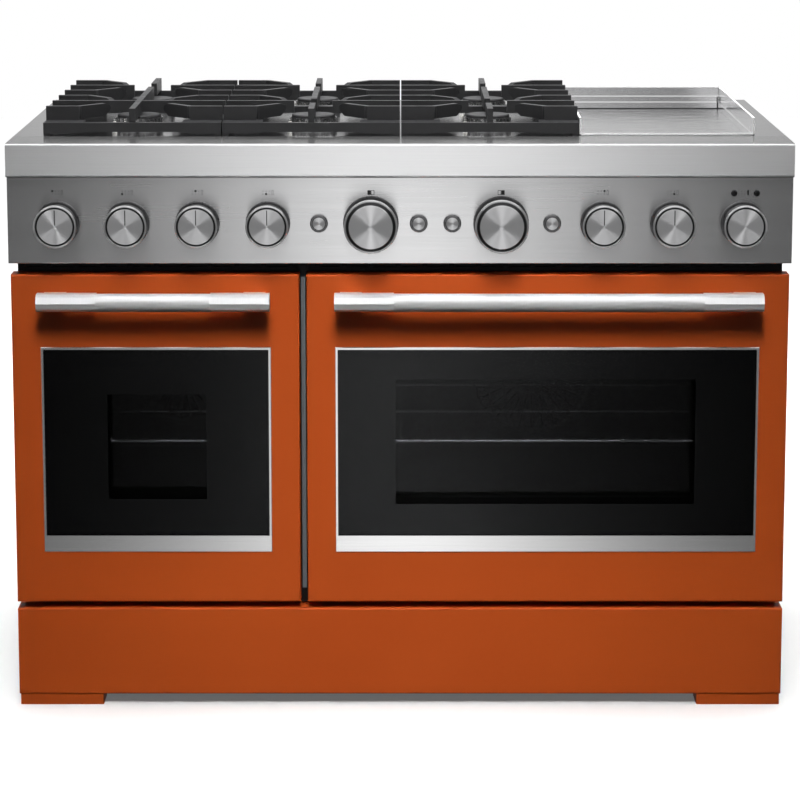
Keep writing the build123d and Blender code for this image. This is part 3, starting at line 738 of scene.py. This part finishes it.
def rear_screws():
    low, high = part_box("rear_panel")
    inset = 12 * MM
    columns = (low.x + inset, high.x - inset)
    rows = (low.z + inset, high.z - inset)
    places = [(x, high.y, z) for x in columns for z in spread(low.z + 30 * MM, high.z - 30 * MM, 6)]
    places += [(x, high.y, z) for x in spread(low.x + 150 * MM, high.x - 150 * MM, 5) for z in rows]
    screws("rear_screws", places, ROOT)


def liner_screws(oven):
    low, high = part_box(f"{oven}_door_liner")
    columns = (low.x + 16 * MM, high.x - 16 * MM)
    rows = spread(low.z + 110 * MM, high.z - 20 * MM, 4)
    screws(f"{oven}_liner_screws", [(x, SKIN_BACK, z) for x in columns for z in rows], f"{oven}_door")


rear_screws()
for oven in OVENS:
    liner_screws(oven)


# ---- inside the ovens
FAN_RADIUS = {"main": 105 * MM, "small": 85 * MM}
FAN_SLOTS = 28
LAMP_INSET = 90 * MM
LAMP_RING = [(31 * MM, 0), (31 * MM, 4 * MM), (27 * MM, 8 * MM), (24 * MM, 8.5 * MM)]
LAMP_GLASS = [(23.5 * MM, 2 * MM), (23.5 * MM, 9.5 * MM), (19 * MM, 14.5 * MM), (12 * MM, 17.5 * MM),
              (3 * MM, 18.5 * MM)]
FITTING_Y = OVEN_BACK - 0.5 * MM


def fan_cover(oven):
    """A round cover over the fan on the oven's back wall, with black boxes painted as the shade seen through
    its slots.
    """
    low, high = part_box(f"{oven}_oven_liner")
    centre = Vector(((low.x + high.x) / 2, FITTING_Y, (low.z + high.z) / 2 + 10 * MM))
    outer = FAN_RADIUS[oven]
    profile = [(outer, 0), (outer, 4 * MM), (outer - 6 * MM, 11 * MM), (outer * 0.34, 12.5 * MM),
               (outer * 0.30, 10 * MM), (2 * MM, 10 * MM)]
    cover = bmesh.new()
    add_turned(cover, centre, profile, 64, "-Y")
    new_piece(f"{oven}_fan_cover", cover, ROOT, "enamel")
    # Painted shade: black boxes stand where the slots would show the shade behind the cover.
    slot_low = (-outer * 0.24, -13.2 * MM, -1.6 * MM)
    slot_high = (outer * 0.24, -9.5 * MM, 1.6 * MM)
    slots = bmesh.new()
    for k in range(FAN_SLOTS):
        angle = k * math.tau / FAN_SLOTS
        middle = centre + Vector((math.cos(angle), 0, math.sin(angle))) * outer * 0.66
        slot = add_box(slots, slot_low, slot_high)
        place = Matrix.Translation(middle) @ Matrix.Rotation(-angle, 4, "Y")
        bmesh.ops.transform(slots, matrix=place, verts=slot)
    new_piece(f"{oven}_fan_slot_shades", slots, ROOT, "black")


def oven_lamp(oven):
    """A frosted dome in a bright ring, in the upper right corner of the oven's back wall."""
    _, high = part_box(f"{oven}_oven_liner")
    spot = Vector((high.x - LAMP_INSET, FITTING_Y, high.z - LAMP_INSET))
    ring = bmesh.new()
    add_turned(ring, spot, LAMP_RING, 32, "-Y")
    new_piece(f"{oven}_lamp_ring", ring, ROOT, "chrome")
    glass = bmesh.new()
    add_turned(glass, spot, LAMP_GLASS, 32, "-Y")
    new_piece(f"{oven}_lamp_glass", glass, ROOT, "frosted")


for oven in OVENS:
    fan_cover(oven)
    oven_lamp(oven)


# ---------------------------------------------------------------- softened edges
def soften(node, width):
    """Welded and slightly rounded edges, which catch the light as real pressed or cast edges do."""
    item = nodes[node]
    weld = item.modifiers.new("weld", "WELD")
    weld.merge_threshold = 0.02 * MM
    bevel = item.modifiers.new("round", "BEVEL")
    bevel.width = width
    bevel.segments = 2
    bevel.limit_method = "ANGLE"
    bevel.angle_limit = math.radians(35.0)
    bevel.harden_normals = True
    bevel.use_clamp_overlap = True


for node, width in (
    ("grate_left", 1.2 * MM), ("grate_middle", 1.2 * MM), ("grate_right", 1.2 * MM),
    ("griddle_tray", 0.8 * MM), ("kick_panel", 0.8 * MM), ("front_feet", 0.8 * MM),
    ("side_panels", 0.6 * MM), ("vent_and_divider_trim", 0.5 * MM),
):
    soften(node, width)


# ---------------------------------------------------------------- camera
# The view is from in front and a little above. The lens, height and distance give the width of the
# ledge and the depth of the cooktop; the small shift keeps every other view inside the frame.
EYE_DISTANCE = 4.654
EYE_ABOVE_LEDGE = 0.514
PITCH = math.radians(9.77)
camera_data = bpy.data.cameras.new("camera")
camera_data.lens = 136.8
camera_data.sensor_width = 36.0
camera_data.shift_y = -0.09
camera_data.clip_end = 100.0
camera = bpy.data.objects.new("camera", camera_data)
camera.location = (0.0, LEDGE_LOW.y - EYE_DISTANCE, LEDGE_HIGH.z + EYE_ABOVE_LEDGE)
camera.rotation_euler = (math.pi / 2 - PITCH, 0.0, 0.0)
bpy.context.scene.collection.objects.link(camera)
bpy.context.scene.camera = camera


# ---------------------------------------------------------------- studio
def mesh_object(name, vertices, faces, material):
    mesh = bpy.data.meshes.new(name)
    mesh.from_pydata(vertices, [], faces)
    mesh.update()
    mesh.materials.append(material)
    item = bpy.data.objects.new(name, mesh)
    bpy.context.scene.collection.objects.link(item)
    return item


def glow(name, strength):
    """A white emitter, with its tree and its emission node for those that add a pattern."""
    material = bpy.data.materials.new(name)
    material.use_nodes = True
    tree = material.node_tree
    tree.nodes.clear()
    emission = tree.nodes.new("ShaderNodeEmission")
    emission.inputs["Color"].default_value = (1.0, 1.0, 1.0, 1.0)
    emission.inputs["Strength"].default_value = strength
    output = tree.nodes.new("ShaderNodeOutputMaterial")
    tree.links.new(emission.outputs[0], output.inputs["Surface"])
    return material, tree, emission


def seen_by(item, camera=False, glossy=False):
    item.visible_camera = camera
    item.visible_glossy = glossy
    item.visible_transmission = glossy
    item.visible_diffuse = False
    item.visible_shadow = False
    item.visible_volume_scatter = False


def floor():
    """A pale floor that fades to white away from the range. Only the camera sees it."""
    shader = Shader("floor_pale", Roughness=0.9)
    cloud = shader.noise(shader.stretched((0.6, 0.6, 0.6)), 1.0, 2.0)
    shader.put("Base Color", shader.blend(shader.span(cloud, 0, 1), (0.86, 0.86, 0.86), (0.89, 0.89, 0.89)))
    shader.put("Emission Color", (1.0, 1.0, 1.0))
    away = shader.length(shader.place)
    shader.put("Emission Strength", shader.span(away, 0.12, 1.0, 1.2, 3.0))
    radius, corners = 9, 96
    angles = [k * math.tau / corners for k in range(corners)]
    ring = [(radius * math.cos(angle), radius * math.sin(angle), 0) for angle in angles]
    item = mesh_object("floor", ring, [tuple(range(corners))], shader.material)
    item.visible_glossy = False
    item.visible_transmission = False
    item.visible_diffuse = False


def dome(name, radius, level, **seen):
    bpy.ops.mesh.primitive_uv_sphere_add(segments=48, ring_count=24, radius=radius)
    item = bpy.context.object
    item.name = name
    item.data.materials.append(glow(name + "_glow", level)[0])
    seen_by(item, **seen)


def card(name, centre, facing, size, levels, reach):
    """A card that only reflections see. levels are its brightness from its middle out to reach, sideways."""
    peak = max(levels)
    material, tree, emission = glow(name + "_glow", peak)
    place = tree.nodes.new("ShaderNodeTexCoord")
    split = tree.nodes.new("ShaderNodeSeparateXYZ")
    tree.links.new(place.outputs["Object"], split.inputs[0])
    away = tree.nodes.new("ShaderNodeMath")
    away.operation = "ABSOLUTE"
    tree.links.new(split.outputs["X"], away.inputs[0])
    scaled = tree.nodes.new("ShaderNodeMapRange")
    scaled.inputs["From Max"].default_value = reach
    tree.links.new(away.outputs[0], scaled.inputs["Value"])
    ramp = tree.nodes.new("ShaderNodeValToRGB")
    ramp.color_ramp.interpolation = "B_SPLINE"
    stops = ramp.color_ramp.elements
    last = len(levels) - 1
    for k in range(1, last):
        stops.new(k / last)
    for stop, level in zip(stops, levels):
        stop.color = (level / peak, level / peak, level / peak, 1.0)
    tree.links.new(scaled.outputs[0], ramp.inputs["Fac"])
    tree.links.new(ramp.outputs["Color"], emission.inputs["Color"])
    wide, tall = size[0] / 2, size[1] / 2
    corners = [(-wide, -tall, 0), (wide, -tall, 0), (wide, tall, 0), (-wide, tall, 0)]
    item = mesh_object(name, corners, [(0, 1, 2, 3)], material)
    item.location = centre
    item.rotation_euler = facing
    seen_by(item, glossy=True)


def area_light(name, place, aim, size, power, spread_angle=180.0):
    """A softbox that lights paint and iron; the cards are what metal and glass reflect."""
    data = bpy.data.lights.new(name, "AREA")
    data.shape = "RECTANGLE"
    data.size, data.size_y = size
    data.energy = power
    data.spread = math.radians(spread_angle)
    light = bpy.data.objects.new(name, data)
    light.location = place
    direction = Vector(aim) - Vector(place)
    light.rotation_euler = direction.to_track_quat("-Z", "Y").to_euler()
    light.visible_glossy = False
    bpy.context.scene.collection.objects.link(light)


def world(level):
    scene_world = bpy.data.worlds.new("studio")
    scene_world.use_nodes = True
    background = scene_world.node_tree.nodes["Background"]
    background.inputs["Color"].default_value = (1.0, 1.0, 1.0, 1.0)
    background.inputs["Strength"].default_value = level
    bpy.context.scene.world = scene_world


UPRIGHT = math.pi / 2
WING_TILT = math.radians(50)
WING_TURN = math.radians(38)
bpy.context.scene.view_settings.view_transform = "Standard"
floor()
dome("backdrop", 40, 1.0, camera=True)
dome("room_in_reflections", 38, 0.10, glossy=True)
world(0.015)
card("front_card", (0, -5.7, 0.8), (UPRIGHT, 0, 0), (16, 18),
     (1.42, 1.25, 0.88, 0.56, 0.36, 0.22, 0.14, 0.11, 0.10), 1.6)
card("rear_card", (0, 2.9, 1.4), (UPRIGHT, 0, 0), (7, 2.8), (0.9, 0.8, 0.55, 0.35, 0.25), 2.0)
card("left_card", (-4.2, 0, 1.2), (UPRIGHT, 0, UPRIGHT), (5, 3.4), (0.7, 0.5, 0.25), 2.5)
card("right_card", (4.2, 0, 1.2), (UPRIGHT, 0, UPRIGHT), (5, 3.4), (0.7, 0.5, 0.25), 2.5)
card("top_card", (0, -0.6, 3.4), (0, 0, 0), (5, 4), (1.5, 1.5, 1.2, 0.5), 2.4)
card("left_wing", (-2.3, -3.0, 3.0), (WING_TILT, 0, -WING_TURN), (0.9, 1.6), (5.0, 5.0), 1.0)
card("right_wing", (2.3, -3.0, 3.0), (WING_TILT, 0, WING_TURN), (0.9, 1.6), (5.0, 5.0), 1.0)
area_light("key", (0.0, -2.8, 3.15), (0.0, -0.315, 0.28), (1.1, 1.5), 8.6, 38)
area_light("top", (0.0, 0.1, 2.9), (0.0, 0.0, 0.9), (2.6, 1.6), 150)
area_light("back", (0.0, 3.2, 2.2), (0.0, 0.3, 0.4), (2.4, 1.4), 38)
